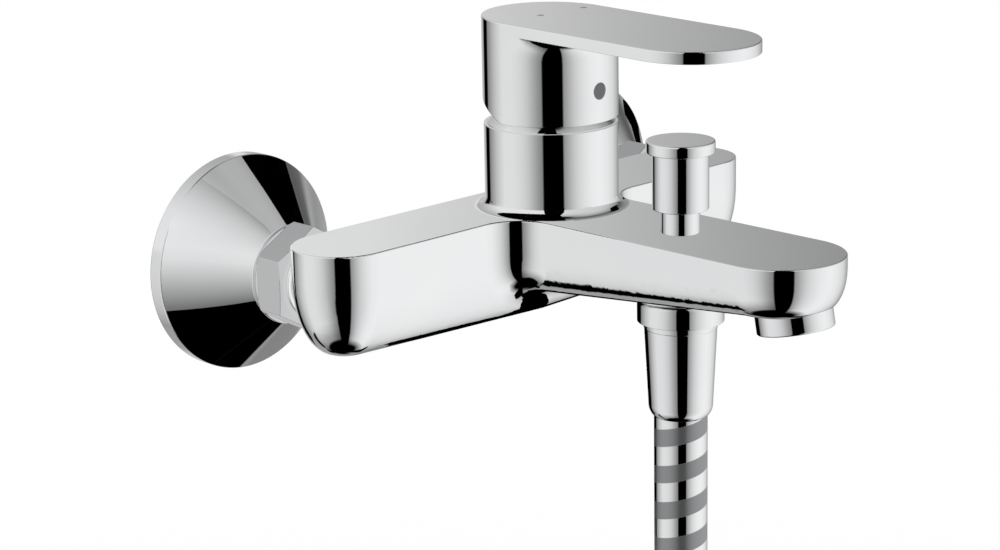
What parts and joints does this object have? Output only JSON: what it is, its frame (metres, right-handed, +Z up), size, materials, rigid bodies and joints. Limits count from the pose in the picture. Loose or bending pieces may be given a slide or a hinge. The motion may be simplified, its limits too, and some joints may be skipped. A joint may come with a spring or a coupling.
{
  "type": "wall mounted bath faucet",
  "caption": "Wall mounted bath and shower mixer with single lever, spout, pull-up diverter, conical wall covers and flexible shower hose.",
  "frame": {"origin": "on the wall surface, mid way between the two water inlets and at their height", "axes": "+X along the wall to the cold inlet on the right as seen by the user, +Y into the wall, +Z up; the spout points along -Y"},
  "size_m": [0.2872, 0.1981, 0.3536],
  "materials": {
    "chrome": "polished chrome plate",
    "grey_plastic": "satin",
    "brass": "machined",
    "steel": "drawn",
    "ceramic": "lapped",
    "white_plastic": "moulded",
    "rubber": "moulded",
    "hose": "smooth clear skin over a grey and silver spiral",
    "strap": "woven strap"
  },
  "bodies": {
    "mixer": {"mixer_body": "chrome", "escutcheon_left": "chrome", "escutcheon_right": "chrome", "union_nut_left": "chrome", "union_nut_right": "chrome", "inlet_nipple_left": "chrome", "inlet_nipple_right": "chrome", "neck_dome": "chrome", "diverter_guide": "chrome", "aerator_ring": "chrome", "hose_nut": "chrome", "hose_connector": "chrome", "aerator_insert": "grey_plastic", "s_union_left": "brass", "s_union_right": "brass", "cartridge_nut": "brass", "outlet_nipple": "brass", "hose_ferrule": "brass", "connector_ferrule": "brass", "diverter_spring": "steel", "check_valve_spring": "steel", "fixed_disc": "ceramic", "cartridge_base": "white_plastic", "cartridge_housing": "white_plastic", "check_valve_body": "white_plastic", "cartridge_base_seals": "rubber", "cartridge_o_ring": "rubber", "filter_washer_left": "rubber", "filter_washer_right": "rubber", "diverter_guide_seal": "rubber", "outlet_nipple_seal": "rubber", "aerator_seal": "rubber", "hose_washer": "rubber", "hose": "hose", "hose_coil": "hose", "hose_tail": "hose", "coil_ties": "strap"},
    "swivel": {"cartridge_rotor": "white_plastic", "pivot_pin": "steel"},
    "lever": {"handle": "chrome", "lever_stem": "steel", "grub_screw": "steel", "screw_plug": "grey_plastic"},
    "mixing_disc": {"disc_carrier": "white_plastic", "moving_disc": "ceramic"},
    "diverter": {"diverter_knob": "chrome", "diverter_rod": "steel", "diverter_valve": "brass", "diverter_valve_seal": "rubber"},
    "check_valve": {"check_valve_poppet": "white_plastic"}
  },
  "joints": [
    {"name": "handle_swivel", "type": "hinge", "parent": "mixer", "child": "swivel", "pos_m": [0, -0.0655, 0.024], "axis": [0, 0, 1], "range_deg": [-50, 50]},
    {"name": "handle_lift", "type": "hinge", "parent": "swivel", "child": "lever", "pos_m": [0, -0.0655, 0.024], "axis": [-1, 0, 0], "range_deg": [0, 22]},
    {"name": "disc_slide", "type": "slide", "parent": "swivel", "child": "mixing_disc", "axis": [0, -1, 0], "range_m": [0, 0.002]},
    {"name": "diverter_pull", "type": "slide", "parent": "mixer", "child": "diverter", "axis": [0, 0, 1], "range_m": [0, 0.008], "stiffness_N_per_m": 150, "springref_m": -0.012, "deforming": ["diverter_spring"]},
    {"name": "check_valve_lift", "type": "slide", "parent": "mixer", "child": "check_valve", "axis": [0, 0, -1], "range_m": [0, 0.0025], "stiffness_N_per_m": 60, "springref_m": -0.003, "deforming": ["check_valve_spring"]}
  ],
  "couplings": [
    {"joint": "disc_slide", "follows": "handle_lift", "m_per_rad": 0.0047}
  ]
}
